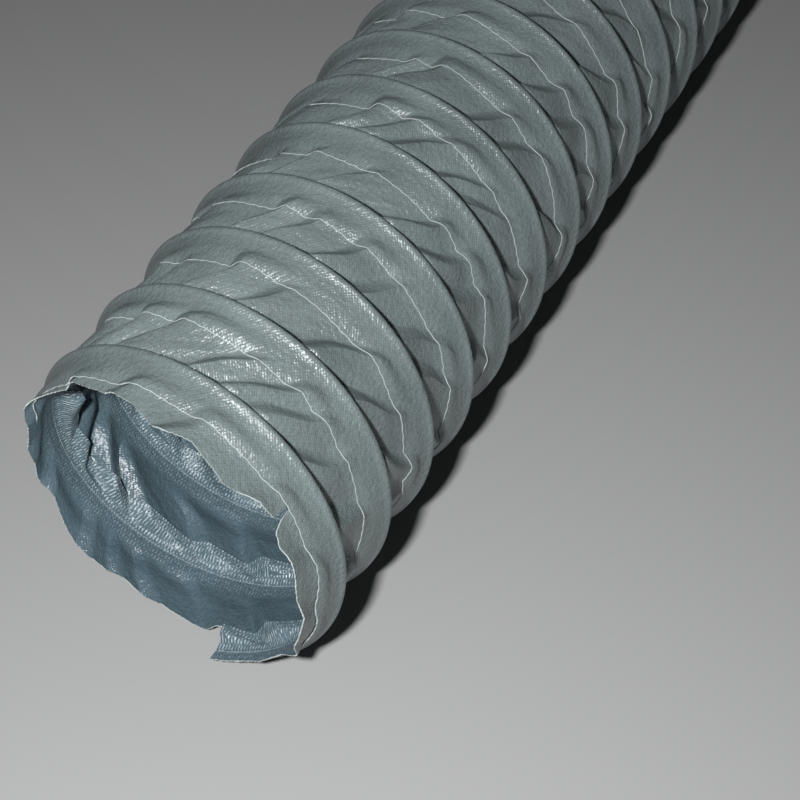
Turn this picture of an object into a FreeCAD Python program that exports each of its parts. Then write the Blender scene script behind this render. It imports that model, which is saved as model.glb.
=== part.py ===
import FreeCAD, Part
import math
import os
import Sketcher
from FreeCAD import Placement, Rotation, Vector

# Flexible air duct: a coated fabric strip wound left-handed along X, its overlapping edges
# welded over and under one spring wire. Each turn is a stiff doubled band, and the single
# ply between two bands folds inwards. The duct lies on its crests, with its open mouth at -X.

DRIVING_SIZES = {
    "turns": 14,
    "helix_pitch": 28.0,
    "bore_radius": 51.0,
    "fabric_thickness": 0.6,
    "wire_diameter": 1.6,
    "pocket_clearance": 0.4,
    "skirt_length": 10.4,
    "skirt_edge_radius": 50.5,
    "mouth_edge_radius": 52.5,
    "inner_setback": 0.7,
    "inner_edge_radius": 49.9,
    "inner_bend": 5.5,
    "inner_tail": 3.0,
    "lip_length": 18.0,
    "lip_edge_radius": 52.2,
    "tail_width": 8.0,
    "fold_shoulder": 3.6,
    "fold_valley": 9.5,
    "fold_valley_radius": 43.0,
    "fold_rise": 13.5,
    "fold_rise_radius": 45.2,
    "rear_cut_length": 15.0,
    "rear_cut_radius": 46.6,
    "body_gap": 0.4,
    "turn_gap": 1.2,
    "floor_flat": 0.5,
    "wire_start": 0.05,
    "lip_start": 0.12,
    "lip_end": 0.996,
}

# Places that several pieces share, as expressions of the driving sizes.
WIRE_LINE = (
    "(Sizes.bore_radius + Sizes.fabric_thickness + Sizes.pocket_clearance + Sizes.wire_diameter / 2)"
)
HUMP_RADIUS = "(Sizes.wire_diameter / 2 + Sizes.pocket_clearance + Sizes.fabric_thickness)"
CREST_RADIUS = f"({WIRE_LINE} + {HUMP_RADIUS})"
BAND_TOP = "(Sizes.bore_radius + Sizes.fabric_thickness)"
INNER_EDGE = "(Sizes.skirt_length - Sizes.inner_setback)"
MIDDLE = (
    "((Sizes.helix_pitch * (Sizes.turns + Sizes.lip_start)"
    " + Sizes.rear_cut_length - Sizes.lip_length) / 2)"
)
GAP_SHARE = "(Sizes.turn_gap / (2 * pi * Sizes.bore_radius))"

# A sketch's origin and its upright axis, and the points of a sketched line or arc.
ORIGIN = (-1, 1)
UPRIGHT = -2
START = 1
END = 2
CENTRE = 3

AXIAL = Vector(1, 0, 0)
OUT_OF_SKETCH = Vector(0, 0, 1)
FLAT_BLOCK_DEPTH = 5.0
FLAT_BLOCK_WIDTH = 60.0
HALF_TURN = 180.0
FULL_TURN = 360.0
WIRE_STRETCHES = 4
GAP_STEPS_PER_TURN = 72
GAP_TURNS = 3


def make_sizes(doc):
    sheet = doc.addObject("Spreadsheet::Sheet", "Sizes")
    for row, (alias, value) in enumerate(DRIVING_SIZES.items(), start=1):
        sheet.set(f"A{row}", alias)
        sheet.set(f"B{row}", str(value))
        sheet.setAlias(f"B{row}", alias)
    doc.recompute()
    return sheet


def value_of(sheet, expression):
    return float(sheet.evalExpression(expression))


def axial_sketch(body, name):
    """A sketch in the body's XZ plane: its x runs along the duct and its y out from the axis."""
    sketch = body.newObject("Sketcher::SketchObject", name)
    plane = next(f for f in body.Origin.OriginFeatures if f.Role == "XZ_Plane")
    sketch.AttachmentSupport = (plane, [""])
    sketch.MapMode = "FlatFace"
    return sketch


def bind(sketch, kind, first, second, expression, value):
    """Adds a distance from one point to another, and binds it to the sheet."""
    number = sketch.addConstraint(Sketcher.Constraint(kind, *first, *second, value))
    sketch.setExpression(f"Constraints[{number}]", expression)


def bind_size(sheet, sketch, kind, places, expression):
    """Adds a radius or a thickness, and binds it to the sheet."""
    number = sketch.addConstraint(Sketcher.Constraint(kind, *places, value_of(sheet, expression)))
    sketch.setExpression(f"Constraints[{number}]", expression)


def pin_point(sheet, sketch, edge, end, along, out):
    """Holds one end of an edge at a distance along the duct and a radius from its axis."""
    bind(sketch, "DistanceX", ORIGIN, (edge, end), along, value_of(sheet, along))
    bind(sketch, "DistanceY", ORIGIN, (edge, end), out, value_of(sheet, out))


def offset_below(points, thickness):
    """The same polyline, one thickness nearer the axis, with mitred corners."""
    ways = []
    for near, far in zip(points, points[1:]):
        ways.append((far - near).normalize())
    below = []
    for index, point in enumerate(points):
        before = ways[max(index - 1, 0)]
        after = ways[min(index, len(ways) - 1)]
        mean = (before + after).normalize()
        down = Vector(mean.y, -mean.x, 0)
        below.append(point + down * (thickness / (mean * after)))
    return below


def ply_sketch(sheet, body, name, corners):
    """A ply of even thickness below a polyline of (along, radius) corners."""
    sketch = axial_sketch(body, name)
    upper = [Vector(value_of(sheet, a), value_of(sheet, r), 0) for a, r in corners]
    lower = offset_below(upper, value_of(sheet, "Sizes.fabric_thickness"))
    outline = upper + lower[::-1]
    for near, far in zip(outline, outline[1:] + outline[:1]):
        sketch.addGeometry(Part.LineSegment(near, far), False)
    count = len(outline)
    for edge in range(count):
        joined = Sketcher.Constraint("Coincident", edge, END, (edge + 1) % count, START)
        sketch.addConstraint(joined)
    for edge, (along, out) in enumerate(corners):
        pin_point(sheet, sketch, edge, START, along, out)
    last_upper = len(upper) - 1
    for edge in range(last_upper):
        opposite = count - 2 - edge
        sketch.addConstraint(Sketcher.Constraint("Parallel", edge, opposite))
        bind_size(sheet, sketch, "Distance", (opposite, START, edge), "Sizes.fabric_thickness")
    sketch.addConstraint(Sketcher.Constraint("Perpendicular", last_upper - 1, last_upper))
    sketch.addConstraint(Sketcher.Constraint("Perpendicular", 0, count - 1))
    return sketch


def pocket_sketch(sheet, body, name, edge_radius):
    """The outer ply: a straight skirt that runs up to a round hump over the wire."""
    sketch = axial_sketch(body, name)
    thickness = value_of(sheet, "Sizes.fabric_thickness")
    skirt = value_of(sheet, "Sizes.skirt_length")
    rim = value_of(sheet, edge_radius)
    line = value_of(sheet, WIRE_LINE)
    hump = value_of(sheet, HUMP_RADIUS)
    centre = Vector(0, line, 0)
    raw_edge = Vector(-skirt, rim, 0)
    reach = centre - raw_edge
    slope = math.atan2(reach.y, reach.x) + math.asin(hump / reach.Length)
    outwards = Vector(-math.sin(slope), math.cos(slope), 0)
    over = Part.Circle(centre, OUT_OF_SKETCH, hump)
    under = Part.Circle(centre, OUT_OF_SKETCH, hump - thickness)
    from_skirt = slope + math.pi / 2
    tangent_top = centre + outwards * hump
    tangent_bottom = centre + outwards * (hump - thickness)
    raw_edge_bottom = raw_edge - outwards * thickness
    rear_top = centre + Vector(hump, 0, 0)
    rear_bottom = centre + Vector(hump - thickness, 0, 0)
    skirt_top, hump_top, rear_end, hump_bottom, skirt_bottom, raw_end = range(6)
    sketch.addGeometry(Part.LineSegment(raw_edge, tangent_top), False)
    sketch.addGeometry(Part.ArcOfCircle(over, 0, from_skirt), False)
    sketch.addGeometry(Part.LineSegment(rear_top, rear_bottom), False)
    sketch.addGeometry(Part.ArcOfCircle(under, 0, from_skirt), False)
    sketch.addGeometry(Part.LineSegment(tangent_bottom, raw_edge_bottom), False)
    sketch.addGeometry(Part.LineSegment(raw_edge_bottom, raw_edge), False)
    for first, second in (
        ((skirt_top, END), (hump_top, END)),
        ((skirt_bottom, START), (hump_bottom, END)),
    ):
        sketch.addConstraint(Sketcher.Constraint("Tangent", *first, *second))
    for first, second in (
        ((hump_top, START), (rear_end, START)),
        ((rear_end, END), (hump_bottom, START)),
        ((skirt_bottom, END), (raw_end, START)),
        ((raw_end, END), (skirt_top, START)),
        ((hump_top, CENTRE), (hump_bottom, CENTRE)),
    ):
        sketch.addConstraint(Sketcher.Constraint("Coincident", *first, *second))
    sketch.addConstraint(Sketcher.Constraint("PointOnObject", hump_top, CENTRE, UPRIGHT))
    bind(sketch, "DistanceY", ORIGIN, (hump_top, CENTRE), WIRE_LINE, line)
    bind(sketch, "DistanceY", ORIGIN, (hump_top, START), WIRE_LINE, line)
    bind(sketch, "DistanceY", ORIGIN, (hump_bottom, START), WIRE_LINE, line)
    pin_point(sheet, sketch, skirt_top, START, "-Sizes.skirt_length", edge_radius)
    sketch.addConstraint(Sketcher.Constraint("Perpendicular", skirt_top, raw_end))
    bind_size(sheet, sketch, "Radius", (hump_top,), HUMP_RADIUS)
    bind_size(sheet, sketch, "Radius", (hump_bottom,), f"{HUMP_RADIUS} - Sizes.fabric_thickness")
    return sketch


def place_turn(sheet, body, start, crest):
    """Turns the body so that its sketch plane meets the helix at this many turns from the wire's
    lowest point, and moves it along the duct to the crest there."""
    height = f"{CREST_RADIUS} - Sizes.floor_flat"
    along = f"Sizes.helix_pitch * ({crest}) - {MIDDLE}"
    angle = f"{HALF_TURN} deg - {FULL_TURN} deg * ({start})"
    body.Placement = Placement(
        Vector(value_of(sheet, along), 0, value_of(sheet, height)),
        Rotation(AXIAL, HALF_TURN - FULL_TURN * value_of(sheet, start)),
    )
    body.setExpression("Placement.Base.x", along)
    body.setExpression("Placement.Base.z", height)
    body.setExpression("Placement.Rotation.Angle", angle)


def sweep_turn(sheet, body, sketch, start, end, crest):
    """Winds the sketch left-handed along the helix, from one place on it to another, in turns."""
    helix = body.newObject("PartDesign::AdditiveHelix", f"{body.Name}_winding")
    helix.Profile = sketch
    helix.ReferenceAxis = (sketch, ["H_Axis"])
    helix.Mode = "pitch-turns-angle"
    helix.LeftHanded = True
    helix.Reversed = False
    turns = f"{end} - ({start}) - {GAP_SHARE}"
    helix.Pitch = value_of(sheet, "Sizes.helix_pitch")
    helix.Turns = value_of(sheet, turns)
    helix.setExpression("Pitch", "Sizes.helix_pitch")
    helix.setExpression("Turns", turns)
    body.Tip = helix
    place_turn(sheet, body, start, crest)
    return helix


def flatten_on_floor(sheet, body, start):
    """Presses the crest flat where the turn starts and ends, on the floor. The block that cuts it
    runs one pitch past both."""
    block = body.newObject("PartDesign::SubtractiveBox", f"{body.Name}_floor")
    pitch = value_of(sheet, "Sizes.helix_pitch")
    block.Length = pitch + pitch + pitch
    block.Width = FLAT_BLOCK_WIDTH
    block.Height = FLAT_BLOCK_DEPTH
    floor = value_of(sheet, f"{CREST_RADIUS} - Sizes.floor_flat")
    corner = Placement(Vector(-pitch, -FLAT_BLOCK_WIDTH / 2, floor), Rotation())
    turn = Rotation(AXIAL, FULL_TURN * value_of(sheet, start))
    block.Placement = Placement(Vector(0, 0, 0), turn).multiply(corner)
    body.Tip = block


def outer_ply(doc, sheet, number):
    """The outer edge of the strip over the wire, with its raw edge towards the mouth."""
    body = doc.addObject("PartDesign::Body", f"outer_ply_{number:02d}")
    start = "Sizes.wire_start" if number == 1 else "0"
    edge = "Sizes.mouth_edge_radius" if number == 1 else "Sizes.skirt_edge_radius"
    sketch = pocket_sketch(sheet, body, f"{body.Name}_profile", edge)
    sweep_turn(sheet, body, sketch, start, "1", f"{number - 1} + {start}")
    doc.recompute()
    flatten_on_floor(sheet, body, start)
    return body


def inner_ply(doc, sheet, number):
    """The inner edge of the strip under the wire. The first one runs on as the mouth's lip."""
    body = doc.addObject("PartDesign::Body", f"inner_ply_{number:02d}")
    if number == 1:
        start, end = "Sizes.lip_start", "Sizes.lip_end"
        corners = [
            ("-Sizes.lip_length", "Sizes.lip_edge_radius"),
            (f"-{INNER_EDGE}", BAND_TOP),
            ("Sizes.inner_tail", BAND_TOP),
        ]
    else:
        start, end = "0", "1"
        corners = [
            (f"-{INNER_EDGE}", "Sizes.inner_edge_radius"),
            ("-Sizes.inner_bend", BAND_TOP),
            ("Sizes.inner_tail", BAND_TOP),
        ]
    sketch = ply_sketch(sheet, body, f"{body.Name}_profile", corners)
    sweep_turn(sheet, body, sketch, start, end, f"{number - 1} + {start}")
    return body


def tail_flap(doc, sheet):
    """The cut end of the inner ply, narrower than the rest, under the first stretch of wire."""
    body = doc.addObject("PartDesign::Body", "tail_flap")
    corners = [("-Sizes.tail_width", BAND_TOP), ("Sizes.inner_tail", BAND_TOP)]
    sketch = ply_sketch(sheet, body, "tail_flap_profile", corners)
    sweep_turn(sheet, body, sketch, "Sizes.wire_start", "Sizes.lip_start", "Sizes.wire_start")
    return body


def fold_corners(after_valley):
    """The single ply behind a crest: a shoulder, a steep wall and the valley, then the rest."""
    shoulder = f"{WIRE_LINE} + Sizes.fabric_thickness / 2"
    return [
        (f"{HUMP_RADIUS} + Sizes.body_gap", shoulder),
        ("Sizes.fold_shoulder", f"{shoulder} - Sizes.fabric_thickness / 2"),
        ("Sizes.fold_valley", "Sizes.fold_valley_radius"),
    ] + after_valley


def folded_web(doc, sheet, number):
    """The single ply between one doubled band and the next, tucked under the next raw edge."""
    body = doc.addObject("PartDesign::Body", f"folded_web_{number:02d}")
    start = "Sizes.wire_start" if number == 1 else "0"
    edge = f"Sizes.helix_pitch - {INNER_EDGE} - Sizes.body_gap"
    corners = fold_corners(
        [
            ("Sizes.fold_rise", "Sizes.fold_rise_radius"),
            (edge, "Sizes.inner_edge_radius - Sizes.body_gap"),
        ]
    )
    sketch = ply_sketch(sheet, body, f"{body.Name}_profile", corners)
    sweep_turn(sheet, body, sketch, start, "1", f"{number - 1} + {start}")
    return body


def rear_lip(doc, sheet):
    """The single ply behind the last band, cut off short of where the next band would be."""
    body = doc.addObject("PartDesign::Body", "rear_lip")
    corners = fold_corners([("Sizes.rear_cut_length", "Sizes.rear_cut_radius")])
    sketch = ply_sketch(sheet, body, "rear_lip_profile", corners)
    sweep_turn(sheet, body, sketch, "0", "1", "Sizes.turns - 1")
    return body


def helix_point(sheet, turns):
    """A point of the wire's line and its direction there, with the axis along X."""
    pitch = value_of(sheet, "Sizes.helix_pitch")
    line = value_of(sheet, WIRE_LINE)
    angle = 2 * math.pi * turns
    point = Vector(pitch * turns, -line * math.sin(angle), -line * math.cos(angle))
    rise = pitch / (2 * math.pi)
    direction = Vector(rise, -line * math.cos(angle), line * math.sin(angle))
    return point, direction.normalize()


def arc_by_corner(near, corner, far):
    """The arc that leaves one point and reaches the other along the two sides of a corner."""
    chord_middle = (near + far) / 2
    inwards = chord_middle - corner
    side = (near - corner).Length
    half_angle = math.acos(inwards.Length / side)
    peak = side * (1 - math.sin(half_angle)) / math.cos(half_angle)
    return Part.Arc(near, corner + inwards.normalize() * peak, far).toShape()


def two_arcs(start, end):
    """Two arcs that run smoothly from one point and direction to another."""
    near, leaving = start
    far, arriving = end
    way = far - near
    square = 2 * (1 - leaving * arriving)
    linear = 2 * (way * (leaving + arriving))
    root = math.sqrt(linear * linear + 4 * square * (way * way))
    side = (root - linear) / (2 * square)
    first_corner = near + leaving * side
    last_corner = far - arriving * side
    meeting = (first_corner + last_corner) / 2
    return [arc_by_corner(near, first_corner, meeting), arc_by_corner(meeting, last_corner, far)]


def wire_turn(doc, sheet, number):
    """One turn of the spring wire, in the pocket between the two plies."""
    piece = doc.addObject("Part::Feature", f"spring_wire_{number:02d}")
    start = value_of(sheet, "Sizes.wire_start") if number == 1 else 0.0
    end = 1 - value_of(sheet, GAP_SHARE)
    step = (end - start) / WIRE_STRETCHES
    places = [helix_point(sheet, start + step * count) for count in range(WIRE_STRETCHES + 1)]
    edges = []
    for near, far in zip(places, places[1:]):
        edges += two_arcs(near, far)
    radius = value_of(sheet, "Sizes.wire_diameter / 2")
    section = Part.Wire(Part.Circle(*places[0], radius).toShape())
    piece.Shape = Part.Wire(edges).makePipeShell([section], True, False)
    along = f"Sizes.helix_pitch * {number - 1} - {MIDDLE}"
    height = f"{CREST_RADIUS} - Sizes.floor_flat"
    piece.Placement = Placement(
        Vector(value_of(sheet, along), 0, value_of(sheet, height)), Rotation()
    )
    piece.setExpression("Placement.Base.x", along)
    piece.setExpression("Placement.Base.z", height)
    return piece


def print_least_gap(sheet):
    """Measures on points how near the wire's turns come to each other."""
    points = []
    for step in range(GAP_TURNS * GAP_STEPS_PER_TURN + 1):
        points.append(helix_point(sheet, step / GAP_STEPS_PER_TURN)[0])
    least = math.inf
    for index, point in enumerate(points[:GAP_STEPS_PER_TURN]):
        for other in points[index + GAP_STEPS_PER_TURN // 2 :]:
            least = min(least, (other - point).Length)
    diameter = value_of(sheet, "Sizes.wire_diameter")
    print(f"wire: least gap between its turns {least - diameter:.2f} mm")


def check_and_write(doc, pieces):
    doc.recompute()
    for item in doc.Objects:
        if "Invalid" in item.State or "Error" in item.State:
            raise RuntimeError(f"{item.Name} is {item.State}")
    os.makedirs("parts", exist_ok=True)
    for piece in pieces:
        piece.Label = piece.Name
        if piece.Shape.isNull() or not piece.Shape.isValid():
            raise RuntimeError(f"{piece.Label} has no valid shape")
        if len(piece.Shape.Solids) != 1:
            raise RuntimeError(f"{piece.Label} has {len(piece.Shape.Solids)} solids")
        piece.Shape.exportStep(os.path.join("parts", f"{piece.Label}.step"))
    print(f"{len(pieces)} pieces written")


def main():
    doc = FreeCAD.newDocument("flexible_air_duct")
    sheet = make_sizes(doc)
    turns = int(value_of(sheet, "Sizes.turns"))
    print_least_gap(sheet)
    pieces = [tail_flap(doc, sheet)]
    for number in range(1, turns + 1):
        pieces.append(wire_turn(doc, sheet, number))
        pieces.append(outer_ply(doc, sheet, number))
        pieces.append(inner_ply(doc, sheet, number))
    for number in range(1, turns):
        pieces.append(folded_web(doc, sheet, number))
    pieces.append(rear_lip(doc, sheet))
    check_and_write(doc, pieces)


main()
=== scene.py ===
"""Looks of a flexible air duct: coated fabric wound over a spring wire, with an open, cut mouth.

The strip's cross-section is followed in (along, radius), in millimetres, from one raw edge to the
other. It is wound along the helix, folded between the wires, given its thickness and cut into
pieces, some of which ride on the duct's bodies while the rest lie between them.

Places round the duct are in turns along the helix, from its lowest point at the mouth. Places
along the duct are in millimetres behind the wire of the same turn.
"""

import math

import bpy
import numpy as np
from mathutils import Matrix, Vector


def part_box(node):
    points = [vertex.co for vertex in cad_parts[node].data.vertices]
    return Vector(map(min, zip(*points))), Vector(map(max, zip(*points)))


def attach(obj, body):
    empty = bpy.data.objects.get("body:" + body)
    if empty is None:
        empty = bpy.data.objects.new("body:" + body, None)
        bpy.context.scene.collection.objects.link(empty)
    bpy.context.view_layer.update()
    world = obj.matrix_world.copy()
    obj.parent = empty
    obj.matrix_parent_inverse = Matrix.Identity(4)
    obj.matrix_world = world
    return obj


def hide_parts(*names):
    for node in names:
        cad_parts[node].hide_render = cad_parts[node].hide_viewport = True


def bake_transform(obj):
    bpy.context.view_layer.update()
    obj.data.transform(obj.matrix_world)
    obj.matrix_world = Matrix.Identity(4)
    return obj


# Metres in a millimetre
MM = 0.001

# The duct's sizes in millimetres: radii are those of a ply's middle or the wire's, and the tail
# is the inner ply behind a wire. Pitch, skirt, wire and rear cut are those of the solids.
PITCH = 28.0
SKIRT = 10.4
SKIRT_EDGE_RADIUS = 50.2
MOUTH_SKIRT_EDGE_RADIUS = 50.7
WIRE_RADIUS = 0.8
WIRE_LINE = 52.8
REAR_CUT = 15.0
TAIL_OVERLAP = 6.5
FABRIC = 0.45

# A raw edge: its thickness and how far behind it the ply has its own, how far the cut wavers
# and in how many waves a turn, and how wide its white threads show outside
RAW_EDGE = 0.4
RAW_TAPER = 0.8
EDGE_RIPPLE = 0.22
RIPPLE_WAVES = (31.3, 47.9)
FRAYED = 0.14

# The outer ply's middle line: the skirt from its raw edge, and the hump over the wire
SKIRT_LINE = (
    (-10.4, 50.4),
    (-7.0, 51.2),
    (-4.0, 52.0),
    (-2.0, 52.7),
    (-1.2, 53.2),
    (-0.7, 53.65),
    (-0.1, 53.85),
    (0.5, 53.75),
    (0.9, 53.4),
    (1.05, 52.8),
    (1.1, 52.0),
    (1.3, 51.4),
)

# The strip's middle line behind the hump: down to the wire's near weld, nearly level to the next
# raw edge, on under the next wire and behind it to the strip's other edge
FOLD_LINE = (
    (1.3, 51.4),
    (1.4, 50.6),
    (2.4, 50.0),
    (5.0, 50.0),
    (8.0, 49.9),
    (11.5, 49.8),
    (14.5, 49.8),
    (17.6, 49.9),
    (20.5, 50.1),
    (24.0, 50.4),
    (28.0, 50.5),
    (29.4, 50.1),
    (34.5, 48.6),
)

# Places behind a wire: the hump's foot, the line where the solids' fold is deepest, and the next
# raw edge
HUMP = 1.3
VALLEY = 9.5
TUCK = 17.6

# Grid of the fabric: columns a turn, rows on each stretch of the cross-section, and the pieces
# that each fold is cut into round the duct. The lip's rows are widest at its cut edge.
COLUMNS = 240
SKIRT_COLUMNS = 480
LIP_COLUMNS = 600
SKIRT_ROWS = 30
WALL_ROWS = 13
SLOPE_ROWS = 12
BAND_ROWS = 12
LIP_ROWS = 30
LIP_ROW_POWER = 0.9
SECTORS = 4

# Extra columns of a fold beside each ridge and the least gap between columns, in millimetres,
# and the turns at each end of a fold that have no extra ones
BESIDE_RIDGE = (-2.2, -1.4, -0.85, -0.5, -0.25, 0.0, 0.25, 0.5, 0.85, 1.4, 2.2)
LEAST_GAP = 0.1
PLAIN_END = 0.01

# Columns lean over to follow the ridges, but stand straight at a fold's two ends, over this many
# turns, and along the band. Their lean is found in a few steps.
LEAN_IN = 0.14
LEAN_OUT = (18.0, 27.0)
LEAN_STEPS = 6

# Ridges of the single ply: how many large and small ones a turn has, and how they lean, in turns
# a millimetre. Small ones have a share of the large ones' height, and end before the next skirt.
FOLDS_PER_TURN = 16
FOLD_SLANT = (0.0022, 0.0034)
SMALL_FOLDS_PER_TURN = 34
SMALL_FOLD_SLANT = (0.002, 0.006)
SMALL_FOLD_LIFT = 0.12
SMALL_FOLD_END = (12.0, 18.0)
SEED = 7

# The run of ridges: widths as shares of the mean one, the first one's turn and the spare turns,
# shares of the full height, and the places where ridges run out and how long they take
FOLD_WIDTHS = (0.55, 1.45)
FIRST_FOLD = -1.6
SPARE_TURNS = 4
RIDGE_HEIGHTS = (0.5, 1.0)
RIDGE_ENDS = (20.5, 26.0)
RIDGE_RUN_OUT = 6.0

# How ridges wander: waves a turn and phase of their slant, and of a swing in turns that also
# goes through its phase along the duct
SLANT_WAVES = 2.3
SLANT_PHASE = 0.9
SWING = 0.003
SWING_WAVES = 4.3
SWING_PHASE = 1.3
SWING_ALONG = 0.25

# A ridge's shape: its full height before the limit and the width of its steep side, each near
# the wire and at the next raw edge, that width ahead of the first wire, how its sides bend, and
# the share of the height by which the ply is sunk, so that it swings about its middle line
FOLD_RISE = (9.5, 4.0)
FOLD_FALL = (7.5, 5.0)
NEAR_WIRE = 3.0
LIP_FALL = 5.5
RISE_POWER = 1.5
FALL_POWER = 1.15
FOLD_MEAN = 0.5
SUNK_END = (TUCK - 3.0, TUCK + 5.0)
MOST_LIFT = 2.1

# Ridges are higher by this share on one side of the duct, between these parts of a turn
LEFT_RISE = 0.4
LEFT_FROM = (0.42, 0.58)
LEFT_TO = (0.8, 0.95)

# The welds hold the ply flat: it comes free behind one wire and is held again under the next
# skirt. The flap behind a wire takes on a share of the folds that it lies against.
FREE_FROM = (1.3, 3.6)
FREE_TO = (18.5, 25.5)
FLAP_START = 2.5
FLAP_FOLLOWS = 0.95

# The radius at which widths round the folds are counted
FOLD_RADIUS = 50.0
TURN_LENGTH = 2 * math.pi * FOLD_RADIUS

# Where the strip and its wire start at the mouth and where the lip ends, in turns, and how far
# the lip's cut edge stands ahead of the first wire, in millimetres, turn by turn
STRIP_START = 0.04
WIRE_START = STRIP_START + 0.01
LIP_END = 1.045
LIP_SHAPE = (
    (0.04, 4.2),
    (0.13, 4.8),
    (0.20, 15.5),
    (0.286, 18.4),
    (0.33, 17.4),
    (0.343, 16.2),
    (0.3475, 12.5),
    (0.35, 8.5),
    (0.355, 15.0),
    (0.409, 19.6),
    (0.45, 16.8),
    (0.476, 19.6),
    (0.52, 14.8),
    (0.56, 12.8),
    (0.62, 11.2),
    (0.66, 11.0),
    (0.70, 13.2),
    (0.80, 13.0),
    (0.88, 18.5),
    (0.92, 17.8),
    (1.02, 21.5),
    (1.05, 20.5),
)

# The shears' marks on the lip: the waves' size, number a turn and phase, and the loose threads
LIP_RIPPLES = ((0.1, 23, 0.0), (0.25, 9.3, 1.0))
LIP_FRAY = 0.08

# The lip bends outwards over part of a turn and has one short bulge. Its folds grow calmer
# towards the cut edge.
LIP_FLARE = 3.0
FLARE_FROM = (0.6, 0.72)
FLARE_TO = (0.78, 0.9)
FLARE_AHEAD = (8.0, 19.0)
LIP_BULGE = 2.2
BULGE_TURN = 0.68
BULGE_WIDTH = 0.03
BULGE_AHEAD = (6.0, 14.0)
LIP_CALM = 0.5
CALM_AHEAD = (5.0, 15.0)

# The first skirt starts narrow, in turns and millimetres
SKIRT_TURN = (0.04, 0.13, 0.22)
SKIRT_REACH = (3.6, 4.2, 10.4)

# Slots of a fabric piece's materials, the sides of its grid, and the least area of a face that
# has a direction of its own
OUTER, INNER, RAW = range(3)
FIRST_ROW, LAST_COLUMN, LAST_ROW, FIRST_COLUMN = range(4)
LEAST_AREA = 1e-12

# Colours and roughness, and how far each fabric's colour goes to dark and pale
OUTSIDE_COLOUR = (0.132, 0.162, 0.164)
INSIDE_COLOUR = (0.073, 0.112, 0.134)
RAW_COLOUR = (0.4, 0.44, 0.44)
# The pressed threads' pale colour, partly their own and partly a painted glint
PRESSED_AND_GLINT_COLOUR = (0.34, 0.4, 0.42)
DARKEST = 0.7
PALEST = 1.3
ROUGHNESS = 0.36
ROUGHNESS_SPREAD = 0.2
RAW_ROUGHNESS = 0.8
WIRE_COLOUR = (0.5, 0.5, 0.5)
WIRE_ROUGHNESS = 0.3

# How far the tone of the fabric follows each thread, each crossing and the pressed marks, and
# what it is lowered by, as shares of the way from darkest to palest. Following the threads paints
# shade between them; the pressed marks' paler tone is partly their own and partly a painted glint.
WEAVE_SHADE_TONE = 0.12
CHANCE_TONE = 0.35
PRESSED_AND_GLINT_TONE = 0.3
TONE_SHIFT = -0.17
PATCH_SCALE = 45.0
PATCH_DETAIL = 4.0

# Relief of the fabric: spacing and height of the threads and size of its lumps in millimetres,
# the lumps and the pressed marks in threads' heights, and how uneven the threads are
THREAD = 0.55
THREAD_HEIGHT = 0.045
LUMP = 1.4
LUMP_HEIGHT = 10.0
LUMP_DETAIL = 1.0
PRESSED_DEPTH = 2.2
UNEVENNESS = 1.6
RELIEF = 0.8

# The welding wheel's marks inside, in millimetres from the wire: stretches that it pressed hard
# and softly, the line along the weld's edge, the blur of their ends, and the dashes' spacing. Their
# pale colour is partly the pressed threads' own and partly a painted glint.
HARD_PRESSED = (-0.7, 7.0)
SOFT_PRESSED = (-6.0, -0.9)
WELD_LINE = (-0.95, -0.6)
HARD_BLUR = 0.2
SOFT_BLUR = 1.0
LINE_BLUR = 0.15
SOFT_SHARE = 0.35
LINE_SHARE = 0.45
PRESS_SPACING = 0.57
PRESS_ROWS = 1.9
DASH_SHARPNESS = 1.3
DASH_LEVEL = 0.1
DASH_CHANCE = (1.7, -0.15)

# The photograph's camera, solved from the ribs: its place from the helix's lowest first point,
# its heading and its downward tilt
CAMERA_FROM_START = (-289.9, -217.6, 464.4)
CAMERA_YAW = 0.45945
CAMERA_TILT = 0.78779
CAMERA_FOCAL = 86.2
SENSOR = 36.0

# Light and floor, with lengths in metres: a small lamp beside the camera, to its left and above it
LAMP_SIZE = 0.035
LAMP_POWER = 5.2
LAMP_LEFT = 0.078
LAMP_ABOVE = 0.018
LAMP_AIM = (-0.05, -0.02, 0.03)
SURROUND_COLOUR = (0.95, 0.97, 1.0)
SURROUND_STRENGTH = 0.02
FLOOR_HALF = 3.0
FLOOR_COLOUR = (0.36, 0.362, 0.362)
FLOOR_ROUGHNESS = 0.6
FLOOR_SPECULAR = 0.3

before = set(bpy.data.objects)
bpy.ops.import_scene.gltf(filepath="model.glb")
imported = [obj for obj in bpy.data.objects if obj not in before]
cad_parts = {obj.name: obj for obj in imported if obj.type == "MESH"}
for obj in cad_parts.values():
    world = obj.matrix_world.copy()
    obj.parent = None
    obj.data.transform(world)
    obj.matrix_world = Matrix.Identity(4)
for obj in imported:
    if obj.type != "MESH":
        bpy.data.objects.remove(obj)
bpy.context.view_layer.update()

TURNS = sum(name.startswith("outer_ply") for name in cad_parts)
wire_low, wire_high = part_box("spring_wire_07")
AXIS_HEIGHT = (wire_low.z + wire_high.z) / 2 / MM
FIRST_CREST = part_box("outer_ply_02")[0].x / MM + SKIRT - PITCH

rng = np.random.default_rng(SEED)


def smooth_line(points, rounds=3):
    """The corners of a line cut a few times over, with its ends kept."""
    line = np.array(points, float)
    for _ in range(rounds):
        near = 0.75 * line[:-1] + 0.25 * line[1:]
        far = 0.25 * line[:-1] + 0.75 * line[1:]
        cut_corners = np.empty((2 * len(near), 2))
        cut_corners[0::2] = near
        cut_corners[1::2] = far
        line = np.vstack([line[:1], cut_corners, line[-1:]])
    return line


def rows_between(line, start, end, count):
    """Evenly spaced points of a line between two places along the duct."""
    steps = np.hypot(*np.diff(line, axis=0).T)
    length = np.concatenate([[0.0], np.cumsum(steps)])
    first = np.interp(start, line[:, 0], length)
    last = np.interp(end, line[:, 0], length)
    spots = np.linspace(first, last, count)
    return np.column_stack([np.interp(spots, length, line[:, k]) for k in (0, 1)])


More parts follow.
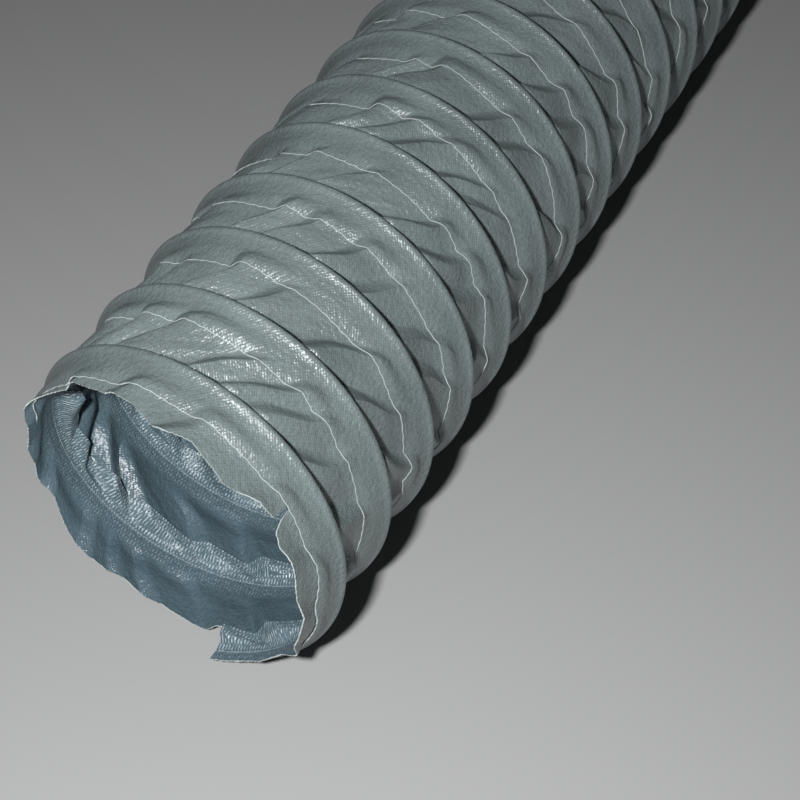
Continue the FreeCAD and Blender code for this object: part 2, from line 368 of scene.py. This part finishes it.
def skirt_rows(edge):
    """The outer ply's rows, from its raw edge at a given radius to behind the wire, with one row
    more where the frayed threads end."""
    line = np.array(SKIRT_LINE)
    line[:, 1] += (edge - line[0, 1]) * np.clip(line[:, 0] / line[0, 0], 0, 1)
    line = smooth_line(line)
    rows = rows_between(line, line[0, 0], line[-1, 0], SKIRT_ROWS)
    beside = rows[0] + (rows[1] - rows[0]) * FRAYED / np.hypot(*(rows[1] - rows[0]))
    return np.vstack([rows[:1], beside, rows[1:]])


def smoothstep(value, low, high):
    share = np.clip((value - low) / (high - low), 0.0, 1.0)
    return share * share * (3 - 2 * share)


def within(value, rise, fall):
    """1 between two places and 0 beyond them, with a smooth change over each one's span."""
    return smoothstep(value, *rise) * (1 - smoothstep(value, *fall))


def turn_range(start, end, columns):
    count = round((end - start) * columns) + 1
    return np.linspace(start, end, count)


def wind(turns, along, radius):
    """Points in millimetres about the duct's axis, from turns along the helix."""
    angle = 2 * math.pi * turns
    return np.stack(
        [PITCH * turns + along, -radius * np.sin(angle), -radius * np.cos(angle)], axis=-1
    )


def to_frame(points):
    return (points + np.array([FIRST_CREST, 0.0, AXIS_HEIGHT])) * MM


class Folds:
    """A run of slanted ridges round the duct, of uneven width, height and length."""

    def __init__(self, per_turn, slants):
        self.slant = sum(slants) / 2
        self.spread = (slants[1] - slants[0]) / 2
        self.count = per_turn * (TURNS + SPARE_TURNS)
        self.places = np.cumsum(rng.uniform(*FOLD_WIDTHS, self.count)) / per_turn + FIRST_FOLD
        self.heights = rng.uniform(*RIDGE_HEIGHTS, self.count)
        self.ends = rng.uniform(*RIDGE_ENDS, self.count)

    def spot(self, turns, along):
        """A place's position in the run of ridges, which drift to lower turns along the duct."""
        slant_change = np.sin(2 * math.pi * SLANT_WAVES * turns + SLANT_PHASE)
        swing = np.sin(2 * math.pi * SWING_WAVES * turns - SWING_ALONG * along + SWING_PHASE)
        wander = self.spread * (along - VALLEY) * slant_change + SWING * swing
        return turns + self.slant * along + wander

    def turn_of(self, spot, along):
        """The turn at which a line that lies along the ridges passes a place along the duct."""
        turns = spot - self.slant * along
        for _ in range(LEAN_STEPS):
            turns = turns - (self.spot(turns, along) - spot)
        return turns

    def near(self, turns, along):
        """The ridge before a place, and the place's share of the way to the next ridge."""
        spot = self.spot(turns, along)
        index = np.clip(np.searchsorted(self.places, spot) - 1, 0, self.count - 2)
        share = (spot - self.places[index]) / (self.places[index + 1] - self.places[index])
        return index, np.clip(share, 0.0, 1.0)

    def ridge(self, index, along):
        """A ridge's share of the full height, which runs out under the skirt."""
        end = self.ends[index]
        return self.heights[index] * (1 - smoothstep(along, end - RIDGE_RUN_OUT, end))

    def height(self, turns, along):
        """Millimetres out from the ply's smooth line. With rising turn the ply climbs slowly to a
        sharp ridge, falls behind it within a few millimetres and climbs again."""
        index, share = self.near(turns, along)
        width = (self.places[index + 1] - self.places[index]) * TURN_LENGTH
        further = smoothstep(along, NEAR_WIRE, TUCK)
        rise, fall = (near + (far - near) * further for near, far in (FOLD_RISE, FOLD_FALL))
        part_of_turn = turns - np.floor(turns)
        rise = rise * (1 + LEFT_RISE * within(part_of_turn, LEFT_FROM, LEFT_TO))
        fall = np.where(turns < STRIP_START, LIP_FALL, fall)
        before = self.ridge(index, along) * np.clip(1 - share * width / fall, 0, 1) ** FALL_POWER
        after = self.ridge(index + 1, along) * share**RISE_POWER
        sunk = FOLD_MEAN * (1 - smoothstep(along, *SUNK_END))
        lift = rise * (before + after - sunk)
        return np.where(lift > 0, MOST_LIFT * np.tanh(lift / MOST_LIFT), lift)


LARGE_FOLDS = Folds(FOLDS_PER_TURN, FOLD_SLANT)
SMALL_FOLDS = Folds(SMALL_FOLDS_PER_TURN, SMALL_FOLD_SLANT)


def fold_lift(turns, along):
    """How far the folds stand out from the ply's smooth line, in millimetres: from the weld behind
    one wire, under the next raw edge, to the weld at the next wire."""
    held = within(along, FREE_FROM, FREE_TO)
    small = SMALL_FOLD_LIFT * (1 - smoothstep(along, *SMALL_FOLD_END))
    return held * (LARGE_FOLDS.height(turns, along) + small * SMALL_FOLDS.height(turns, along))


def web_columns(start, end):
    """Columns of a fold, in turns at its valley: evenly spaced, and close together at each ridge."""
    even = turn_range(start, end, COLUMNS)
    ridges = LARGE_FOLDS.turn_of(LARGE_FOLDS.places, VALLEY)
    ridges = ridges[(ridges > start + PLAIN_END) & (ridges < end - PLAIN_END)]
    beside = ridges[:, None] + np.array(BESIDE_RIDGE) / TURN_LENGTH
    turns = np.unique(np.concatenate([even, beside.ravel()]))
    turns = turns[(turns >= start) & (turns <= end)]
    wide_enough = np.diff(turns) > LEAST_GAP / TURN_LENGTH
    return turns[np.concatenate([[True], wide_enough])]


def along_ridges(turns, along):
    """Turns of a fold's grid points: its columns follow the ridges, but for the fold's two ends
    and the band under the next wire."""
    start, end = turns[0], turns[-1]
    spots = LARGE_FOLDS.spot(turns, VALLEY)[:, None]
    columns = turns[:, None]
    shift = LARGE_FOLDS.turn_of(spots, along) - columns
    inner = within(columns, (start, start + LEAN_IN), (end - LEAN_IN, end))
    return columns + shift * inner * (1 - smoothstep(along, *LEAN_OUT))


def grid_normals(points):
    """Outward normals of a grid of points about the duct's axis."""
    across = np.gradient(points, axis=1)
    round_about = np.gradient(points, axis=0)
    normals = np.cross(across, round_about)
    normals /= np.linalg.norm(normals, axis=-1, keepdims=True)
    outwards = points * np.array([0.0, 1.0, 1.0])
    sign = np.sign(np.sum(normals * outwards, axis=-1))
    return normals * np.sign(np.median(sign))


def from_nearest_crest(along, radius):
    """Millimetres along the ply of each point of a grid, from the nearest wire."""
    steps = np.hypot(np.diff(along, axis=1), np.diff(radius, axis=1))
    across = np.concatenate([np.zeros((len(along), 1)), np.cumsum(steps, axis=1)], axis=1)
    from_crest = along - PITCH * np.round(along / PITCH)
    nearest = np.argmin(np.abs(from_crest), axis=1)[:, None]
    return across + np.take_along_axis(from_crest - across, nearest, axis=1)


def fabric_grid(turns, along, radius, ahead=False, strength=1.0):
    """Both faces of a stretch of fabric, its normals and its weave coordinates: round the duct,
    and along the ply. A stretch ahead of its wire has the folds of the turn before, and its first
    row is a raw edge."""
    fold_turns = turns - 1 if ahead else turns
    fold_along = along + PITCH if ahead else along
    flap = smoothstep(fold_along, PITCH, PITCH + FLAP_START)
    lift = fold_lift(fold_turns, fold_along) * (1 - flap)
    lift += FLAP_FOLLOWS * flap * fold_lift(fold_turns + 1, fold_along - PITCH)
    middle = wind(turns, along, radius + strength * lift)
    normals = grid_normals(middle)
    thick = np.full(turns.shape, FABRIC)
    if ahead:
        from_edge = np.hypot(along - along[:, :1], radius - radius[:, :1])
        thick = RAW_EDGE + (FABRIC - RAW_EDGE) * smoothstep(from_edge, 0.0, RAW_TAPER)
    half = normals * thick[..., None] / 2
    round_duct = turns * 2 * math.pi * WIRE_LINE
    return {
        "outer": to_frame(middle + half),
        "inner": to_frame(middle - half),
        "normals": normals,
        "weave": np.stack([round_duct, from_nearest_crest(along, radius)], axis=-1) * MM,
    }


def cut(grid, columns, rows):
    return {name: values[columns, rows] for name, values in grid.items()}


def sheet_faces(wide, tall):
    """Faces of a closed sheet with a grid of points on each face: outside, inside and rim. The rim
    goes round by the first row, the last column, the last row and the first column."""
    count = wide * tall
    number = np.arange(count).reshape(wide, tall)
    a = number[:-1, :-1].ravel()
    b = number[1:, :-1].ravel()
    c = number[1:, 1:].ravel()
    d = number[:-1, 1:].ravel()
    outside = np.column_stack([d, c, b, a])
    inside = np.column_stack([a, b, c, d]) + count
    border = np.concatenate(
        [number[:, 0], number[-1, 1:], number[-2::-1, -1], number[0, -2:0:-1]]
    )
    after = np.roll(border, -1)
    rim = np.column_stack([border, after, after + count, border + count])
    return outside, inside, rim


def face_slots(wide, tall, raw_sides, frayed):
    """The material slot of each face of a sheet, in the order of its faces."""
    outside = np.full((wide - 1, tall - 1), OUTER)
    if frayed:
        outside[:, 0] = RAW
    inside = np.full((wide - 1) * (tall - 1), INNER)
    sides = (FIRST_ROW, LAST_COLUMN, LAST_ROW, FIRST_COLUMN)
    rim = np.repeat(sides, [wide, tall - 1, wide - 1, tall - 2])
    return np.concatenate([outside.ravel(), inside, np.where(np.isin(rim, raw_sides), RAW, INNER)])


def corner_normals(points, normals, faces, rim):
    """Normals of the faces' corners: smooth outside and inside, and flat on the rim, which comes
    last."""
    outwards = normals.reshape(-1, 3)
    corners = np.concatenate([outwards, -outwards])[faces]
    edges = points[rim]
    flat = np.cross(edges[:, 1] - edges[:, 0], edges[:, 3] - edges[:, 0])
    flat /= np.maximum(np.linalg.norm(flat, axis=1, keepdims=True), LEAST_AREA)
    corners[-len(rim) :] = flat[:, None, :]
    return corners.reshape(-1, 3)


def sheet_piece(name, grid, raw_sides=(), frayed=False):
    """A closed sheet of fabric, coated outside and inside, with white threads on its raw sides.
    A frayed one shows its white threads on the outside too, up to the second row."""
    points = np.concatenate([grid["outer"].reshape(-1, 3), grid["inner"].reshape(-1, 3)])
    wide, tall = grid["outer"].shape[:2]
    outside, inside, rim = sheet_faces(wide, tall)
    faces = np.concatenate([outside, inside, rim])
    mesh = bpy.data.meshes.new(name)
    mesh.from_pydata(points.tolist(), [], faces.tolist())
    slots = face_slots(wide, tall, raw_sides, frayed)
    mesh.polygons.foreach_set("material_index", slots)
    mesh.polygons.foreach_set("use_smooth", np.ones(len(faces), bool))
    weave = np.concatenate([grid["weave"].reshape(-1, 2)] * 2)
    layer = mesh.uv_layers.new(name="weave")
    layer.data.foreach_set("uv", weave[faces].ravel())
    mesh.update()
    corners = corner_normals(points, grid["normals"], faces, rim)
    mesh.normals_split_custom_set(corners.tolist())
    piece = bpy.data.objects.new(name, mesh)
    bpy.context.scene.collection.objects.link(piece)
    return piece


def dress(piece, materials):
    """Gives a fabric piece its materials, in the order of the slots' numbers."""
    for kind in ("outer", "inner", "raw"):
        piece.data.materials.append(materials[kind])


def calm_towards_edge(along):
    """The strength of the folds ahead of the first wire."""
    return 1 - LIP_CALM * smoothstep(-along, *CALM_AHEAD)


def build_skirt(number, materials):
    """The outer ply of one turn: its raw edge, its skirt and the hump over the wire."""
    first = number == 1
    turns = turn_range(STRIP_START if first else number - 1, number, SKIRT_COLUMNS)
    rows = skirt_rows(MOUTH_SKIRT_EDGE_RADIUS if first else SKIRT_EDGE_RADIUS)
    along = np.tile(rows[:, 0], (len(turns), 1))
    radius = np.tile(rows[:, 1], (len(turns), 1))
    one_wave, other_wave = (np.sin(2 * math.pi * waves * turns) for waves in RIPPLE_WAVES)
    reach = np.interp(turns, SKIRT_TURN, SKIRT_REACH) if first else SKIRT
    reach = reach + EDGE_RIPPLE * one_wave * other_wave
    along = np.where(along < 0, along * reach[:, None] / SKIRT, along)
    grid_turns = np.repeat(turns[:, None], len(rows), axis=1)
    strength = calm_towards_edge(along) if first else 1.0
    grid = fabric_grid(grid_turns, along, radius, ahead=True, strength=strength)
    raw_sides = (FIRST_ROW, FIRST_COLUMN) if first else (FIRST_ROW,)
    piece = sheet_piece(f"skirt_{number:02d}", grid, raw_sides, frayed=True)
    dress(piece, materials)
    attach(piece, f"ring_{number:02d}")
    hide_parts(f"outer_ply_{number:02d}")


def blend_across(piece):
    """Bakes a sector's placement into its mesh."""
    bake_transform(piece)


def build_sectors(number, turns, grid, materials):
    """One fold's wall, between its wire's ring and the fold's own body, and its slope, between there
    and the next ring, each cut in sectors round the duct."""
    fold = f"fold_{number:02d}"
    wall = ("wall", slice(0, WALL_ROWS), f"ring_{number:02d}", fold, HUMP, VALLEY)
    slope_rows = slice(WALL_ROWS - 1, WALL_ROWS + SLOPE_ROWS - 1)
    slope = ("slope", slope_rows, fold, f"ring_{number + 1:02d}", VALLEY, TUCK)
    columns = np.searchsorted(turns, np.linspace(turns[0], turns[-1], SECTORS + 1))
    for sector, (first, last) in enumerate(zip(columns, columns[1:]), start=1):
        for kind, rows, body, next_body, near, far in (wall, slope):
            sheet = cut(grid, slice(first, last + 1), rows)
            piece = sheet_piece(f"{kind}_{number:02d}_{sector}", sheet)
            dress(piece, materials)
            blend_across(piece)
            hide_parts(f"folded_web_{number:02d}")


def build_band(number, grid, materials):
    """The inner ply under one wire, to the strip's other raw edge."""
    band = cut(grid, slice(None), slice(WALL_ROWS + SLOPE_ROWS - 2, None))
    piece = sheet_piece(f"band_{number:02d}", band, (LAST_ROW,))
    dress(piece, materials)
    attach(piece, f"ring_{number:02d}")
    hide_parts(f"inner_ply_{number:02d}")


def build_rear_edge(grid, materials):
    """The single ply behind the last wire, up to where it is cut off."""
    piece = sheet_piece("rear_edge", grid, (LAST_ROW,))
    dress(piece, materials)
    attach(piece, f"ring_{TURNS:02d}")
    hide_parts("rear_lip")


def build_web(number, materials):
    """The strip behind one wire: its fold, and the band under the next wire."""
    line = smooth_line(FOLD_LINE)
    last = number == TURNS
    turns = web_columns(STRIP_START if number == 1 else number - 1, number)
    wall = rows_between(line, HUMP, VALLEY, WALL_ROWS)
    slope = rows_between(line, VALLEY, REAR_CUT if last else TUCK, SLOPE_ROWS)
    band = rows_between(line, TUCK, PITCH + TAIL_OVERLAP, BAND_ROWS)
    rows = np.vstack([wall, slope[1:]] if last else [wall, slope[1:], band[1:]])
    along = np.tile(rows[:, 0], (len(turns), 1))
    radius = np.tile(rows[:, 1], (len(turns), 1))
    grid = fabric_grid(along_ridges(turns, along), along, radius)
    if last:
        build_rear_edge(grid, materials)
    else:
        build_sectors(number, turns, grid, materials)
        build_band(number + 1, grid, materials)


def lip_reach(turns):
    """How far the lip's cut edge stands ahead of the first wire, with the shears' marks."""
    reach = np.interp(turns, *np.transpose(LIP_SHAPE))
    for size, waves, phase in LIP_RIPPLES:
        reach = reach + size * np.sin(2 * math.pi * waves * turns + phase)
    return reach + LIP_FRAY * rng.standard_normal(len(turns))


def build_lip(materials):
    """The single ply ahead of the first wire, with the wavy edge left by the shears."""
    turns = turn_range(STRIP_START, LIP_END, LIP_COLUMNS)
    reach = lip_reach(turns)[:, None]
    share = np.linspace(0, 1, LIP_ROWS) ** LIP_ROW_POWER
    along = -reach + (reach + TAIL_OVERLAP) * share
    line = smooth_line(FOLD_LINE)
    flat = np.interp(along + PITCH, line[:, 0], line[:, 1])
    flared = within(turns, FLARE_FROM, FLARE_TO)[:, None]
    flare = LIP_FLARE * flared * smoothstep(-along, *FLARE_AHEAD)
    bulging = np.exp(-(((turns - BULGE_TURN) / BULGE_WIDTH) ** 2))[:, None]
    bulge = LIP_BULGE * bulging * smoothstep(-along, *BULGE_AHEAD)
    grid_turns = np.repeat(turns[:, None], LIP_ROWS, axis=1)
    strength = calm_towards_edge(along)
    grid = fabric_grid(grid_turns, along, flat + flare + bulge, ahead=True, strength=strength)
    piece = sheet_piece("mouth_lip", grid, (FIRST_ROW, LAST_ROW, FIRST_COLUMN))
    dress(piece, materials)
    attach(piece, "ring_01")
    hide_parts("inner_ply_01", "tail_flap")


def build_wire(number, materials):
    """The spring wire inside one turn's hump."""
    turns = turn_range(WIRE_START if number == 1 else number - 1, number, COLUMNS)
    points = to_frame(wind(turns, np.zeros(len(turns)), np.full(len(turns), WIRE_LINE)))
    curve = bpy.data.curves.new(f"wire_{number:02d}", "CURVE")
    curve.dimensions = "3D"
    curve.bevel_depth = WIRE_RADIUS * MM
    curve.bevel_resolution = 2
    curve.use_fill_caps = True
    spline = curve.splines.new("POLY")
    spline.points.add(len(points) - 1)
    for spot, point in zip(spline.points, points):
        spot.co = (*point, 1.0)
    piece = bpy.data.objects.new(f"wire_{number:02d}", curve)
    bpy.context.scene.collection.objects.link(piece)
    piece.data.materials.append(materials["wire"])
    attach(piece, f"ring_{number:02d}")
    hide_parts(f"spring_wire_{number:02d}")


def new_material(name):
    material = bpy.data.materials.new(name)
    material.use_nodes = True
    return material, material.node_tree.nodes["Principled BSDF"]


def plain_material(name, colour, roughness):
    material, shader = new_material(name)
    shader.inputs["Base Color"].default_value = (*colour, 1)
    shader.inputs["Roughness"].default_value = roughness
    return material, shader


def math_node(tree, operation, *inputs, clamp=False):
    """The result of a math node on sockets and plain numbers."""
    node = tree.nodes.new("ShaderNodeMath")
    node.operation = operation
    node.use_clamp = clamp
    for socket, value in zip(node.inputs, inputs):
        if isinstance(value, (int, float)):
            socket.default_value = value
        else:
            tree.links.new(value, socket)
    return node.outputs[0]


def noise_node(tree, scale, detail):
    """Noise that lies still on the piece, whichever way its weave runs."""
    place = tree.nodes.new("ShaderNodeTexCoord")
    noise = tree.nodes.new("ShaderNodeTexNoise")
    noise.inputs["Scale"].default_value = scale
    noise.inputs["Detail"].default_value = detail
    tree.links.new(place.outputs["Object"], noise.inputs["Vector"])
    return noise.outputs["Fac"]


def ramp_node(tree, value, low, high):
    """A smooth ramp, from 0 at one value to 1 at the other."""
    ramp = tree.nodes.new("ShaderNodeMapRange")
    ramp.interpolation_type = "SMOOTHSTEP"
    ramp.inputs["From Min"].default_value = low
    ramp.inputs["From Max"].default_value = high
    tree.links.new(value, ramp.inputs["Value"])
    return ramp.outputs["Result"]


def weave_cells(tree):
    """The woven threads' height, between -1 and 1, a chance value for each crossing, and the
    place on the weave, counted in threads."""
    coords = tree.nodes.new("ShaderNodeUVMap")
    coords.uv_map = "weave"
    scaled = tree.nodes.new("ShaderNodeVectorMath")
    scaled.operation = "SCALE"
    scaled.inputs["Scale"].default_value = 1 / (THREAD * MM)
    tree.links.new(coords.outputs[0], scaled.inputs[0])
    split = tree.nodes.new("ShaderNodeSeparateXYZ")
    tree.links.new(scaled.outputs[0], split.inputs[0])
    waves = []
    for axis in (0, 1):
        angle = math_node(tree, "MULTIPLY", split.outputs[axis], math.pi)
        waves.append(math_node(tree, "SINE", angle))
    cell = tree.nodes.new("ShaderNodeVectorMath")
    cell.operation = "FLOOR"
    tree.links.new(scaled.outputs[0], cell.inputs[0])
    chance = tree.nodes.new("ShaderNodeTexWhiteNoise")
    chance.noise_dimensions = "2D"
    tree.links.new(cell.outputs[0], chance.inputs["Vector"])
    threads = math_node(tree, "MULTIPLY", *waves)
    return threads, chance.outputs["Value"], split.outputs


def pressed_stretch(tree, across, start, end, blur):
    """1 between two places across the ply, in millimetres from the wire, and 0 beyond them."""
    rise = ramp_node(tree, across, (start - blur) / THREAD, (start + blur) / THREAD)
    fall = ramp_node(tree, across, (end + blur) / THREAD, (end - blur) / THREAD)
    return math_node(tree, "MULTIPLY", rise, fall)


def pressed_marks(tree, places):
    """How hard the welding wheel pressed a place, the dashes that it left there, and the line
    along the weld's edge."""
    hard = pressed_stretch(tree, places[1], *HARD_PRESSED, HARD_BLUR)
    soft = pressed_stretch(tree, places[1], *SOFT_PRESSED, SOFT_BLUR)
    pressure = math_node(tree, "MULTIPLY_ADD", soft, SOFT_SHARE, hard)
    waves = []
    for place, spacing in ((places[0], PRESS_SPACING), (places[1], PRESS_ROWS)):
        angle = math_node(tree, "MULTIPLY", place, math.pi * THREAD / spacing)
        waves.append(math_node(tree, "SINE", angle))
    dashes = math_node(tree, "MULTIPLY", *waves)
    return pressure, dashes, pressed_stretch(tree, places[1], *WELD_LINE, LINE_BLUR)


def dash_and_glint_share(tree, pressure, dashes, weld_line, chance):
    """How far a place takes the pressed threads' colour, which is partly their own and partly a
    painted glint: in uneven dashes, and on the line.
    """
    sharp = math_node(tree, "MULTIPLY_ADD", dashes, DASH_SHARPNESS, DASH_LEVEL, clamp=True)
    uneven = math_node(tree, "MULTIPLY_ADD", chance, *DASH_CHANCE)
    share = math_node(tree, "MULTIPLY", sharp, uneven)
    share = math_node(tree, "MULTIPLY", share, pressure)
    return math_node(tree, "MULTIPLY_ADD", weld_line, LINE_SHARE, share, clamp=True)


def mixed_colour(tree, share, first, second):
    """A colour between two, each of them a plain colour or a socket."""
    mix = tree.nodes.new("ShaderNodeMix")
    mix.data_type = "RGBA"
    tree.links.new(share, mix.inputs["Factor"])
    for socket, colour in (("A", first), ("B", second)):
        if isinstance(colour, tuple):
            mix.inputs[socket].default_value = (*colour, 1)
        else:
            tree.links.new(colour, mix.inputs[socket])
    return mix.outputs["Result"]


def raise_relief(tree, shader, height):
    """Bumps a shader's surface by a height in threads' heights."""
    bump = tree.nodes.new("ShaderNodeBump")
    bump.inputs["Strength"].default_value = RELIEF
    bump.inputs["Distance"].default_value = THREAD_HEIGHT * MM
    tree.links.new(height, bump.inputs["Height"])
    tree.links.new(bump.outputs[0], shader.inputs["Normal"])


def fabric_material(name, colour, pressed):
    """Coated woven fabric: threads of uneven height under a glossy skin, in uneven patches, with
    shade painted between the threads. The inside is pressed as well along its welded bands, whose
    pale marks are partly their own colour and partly a painted glint."""
    material, shader = new_material(name)
    tree = material.node_tree
    weave, chance, places = weave_cells(tree)
    patches = noise_node(tree, PATCH_SCALE, PATCH_DETAIL)
    lumps = noise_node(tree, 1 / (LUMP * MM), LUMP_DETAIL)
    # Tone follows the threads' height: paler on their tops and darker between them, a painted shade
    tone = math_node(tree, "MULTIPLY_ADD", weave, WEAVE_SHADE_TONE, patches)
    tone = math_node(tree, "MULTIPLY_ADD", chance, CHANCE_TONE, tone)
    unevenness = math_node(tree, "MULTIPLY", chance, UNEVENNESS)
    height = math_node(tree, "MULTIPLY", weave, unevenness)
    height = math_node(tree, "MULTIPLY_ADD", lumps, LUMP_HEIGHT, height)
    if pressed:
        pressure, dashes, weld_line = pressed_marks(tree, places)
        # Pressed stretches are paler: partly the pressed threads' own tone, partly a painted glint
        tone = math_node(tree, "MULTIPLY_ADD", pressure, PRESSED_AND_GLINT_TONE, tone)
        depth = math_node(tree, "MULTIPLY", pressure, PRESSED_DEPTH)
        depth = math_node(tree, "MULTIPLY", depth, unevenness)
        height = math_node(tree, "MULTIPLY_ADD", dashes, depth, height)
    tone = math_node(tree, "ADD", tone, TONE_SHIFT)
    dark = tuple(level * DARKEST for level in colour)
    pale = tuple(level * PALEST for level in colour)
    cloth = mixed_colour(tree, tone, dark, pale)
    if pressed:
        # Dashes and the weld line take the pale colour, partly real pressed threads and partly
        # painted glints
        share = dash_and_glint_share(tree, pressure, dashes, weld_line, chance)
        cloth = mixed_colour(tree, share, cloth, PRESSED_AND_GLINT_COLOUR)
    tree.links.new(cloth, shader.inputs["Base Color"])
    smoothest = ROUGHNESS - ROUGHNESS_SPREAD / 2
    worn = math_node(tree, "MULTIPLY_ADD", patches, ROUGHNESS_SPREAD, smoothest)
    tree.links.new(worn, shader.inputs["Roughness"])
    raise_relief(tree, shader, height)
    return material


def make_materials():
    raw, _ = plain_material("raw_fabric_edge", RAW_COLOUR, RAW_ROUGHNESS)
    wire, shader = plain_material("spring_wire", WIRE_COLOUR, WIRE_ROUGHNESS)
    shader.inputs["Metallic"].default_value = 1.0
    return {
        "outer": fabric_material("coated_fabric_outside", OUTSIDE_COLOUR, pressed=False),
        "inner": fabric_material("coated_fabric_inside", INSIDE_COLOUR, pressed=True),
        "raw": raw,
        "wire": wire,
    }


def build_stage():
    floor = bpy.data.meshes.new("floor")
    sides = (-FLOOR_HALF, FLOOR_HALF)
    corners = [(x, y, 0) for x in sides for y in sides]
    floor.from_pydata(corners, [], [(0, 2, 3, 1)])
    ground = bpy.data.objects.new("floor", floor)
    bpy.context.scene.collection.objects.link(ground)
    material, shader = plain_material("pale_table", FLOOR_COLOUR, FLOOR_ROUGHNESS)
    shader.inputs["Specular IOR Level"].default_value = FLOOR_SPECULAR
    floor.materials.append(material)


def camera_axes():
    forward = Vector(
        (
            math.cos(CAMERA_TILT) * math.cos(CAMERA_YAW),
            math.cos(CAMERA_TILT) * math.sin(CAMERA_YAW),
            -math.sin(CAMERA_TILT),
        )
    )
    right = Vector((math.sin(CAMERA_YAW), -math.cos(CAMERA_YAW), 0.0))
    return right, right.cross(forward), forward


def camera_place():
    x, y, z = CAMERA_FROM_START
    return Vector(((x + FIRST_CREST) * MM, y * MM, z * MM))


def build_camera():
    data = bpy.data.cameras.new("camera")
    data.sensor_width = SENSOR
    data.lens = CAMERA_FOCAL
    camera = bpy.data.objects.new("camera", data)
    bpy.context.scene.collection.objects.link(camera)
    right, up, forward = camera_axes()
    turn = Matrix((right, up, -forward)).transposed().to_4x4()
    camera.matrix_world = Matrix.Translation(camera_place()) @ turn
    bpy.context.scene.camera = camera


def build_lights():
    """A lamp beside the camera, above it and to its left, and a weak even surround."""
    right, up, _ = camera_axes()
    lamp = bpy.data.lights.new("lamp", "AREA")
    lamp.shape = "DISK"
    lamp.size = LAMP_SIZE
    lamp.energy = LAMP_POWER
    light = bpy.data.objects.new("lamp", lamp)
    bpy.context.scene.collection.objects.link(light)
    light.location = camera_place() - right * LAMP_LEFT + up * LAMP_ABOVE
    aim = Vector(LAMP_AIM) - light.location
    light.rotation_euler = aim.to_track_quat("-Z", "Y").to_euler()
    world = bpy.data.worlds.new("surround")
    world.use_nodes = True
    background = world.node_tree.nodes["Background"]
    background.inputs["Color"].default_value = (*SURROUND_COLOUR, 1)
    background.inputs["Strength"].default_value = SURROUND_STRENGTH
    bpy.context.scene.world = world


def main():
    materials = make_materials()
    for number in range(1, TURNS + 1):
        build_skirt(number, materials)
        build_web(number, materials)
        build_wire(number, materials)
    build_lip(materials)
    build_stage()
    build_camera()
    build_lights()
    bpy.context.scene.view_settings.view_transform = "Standard"


main()
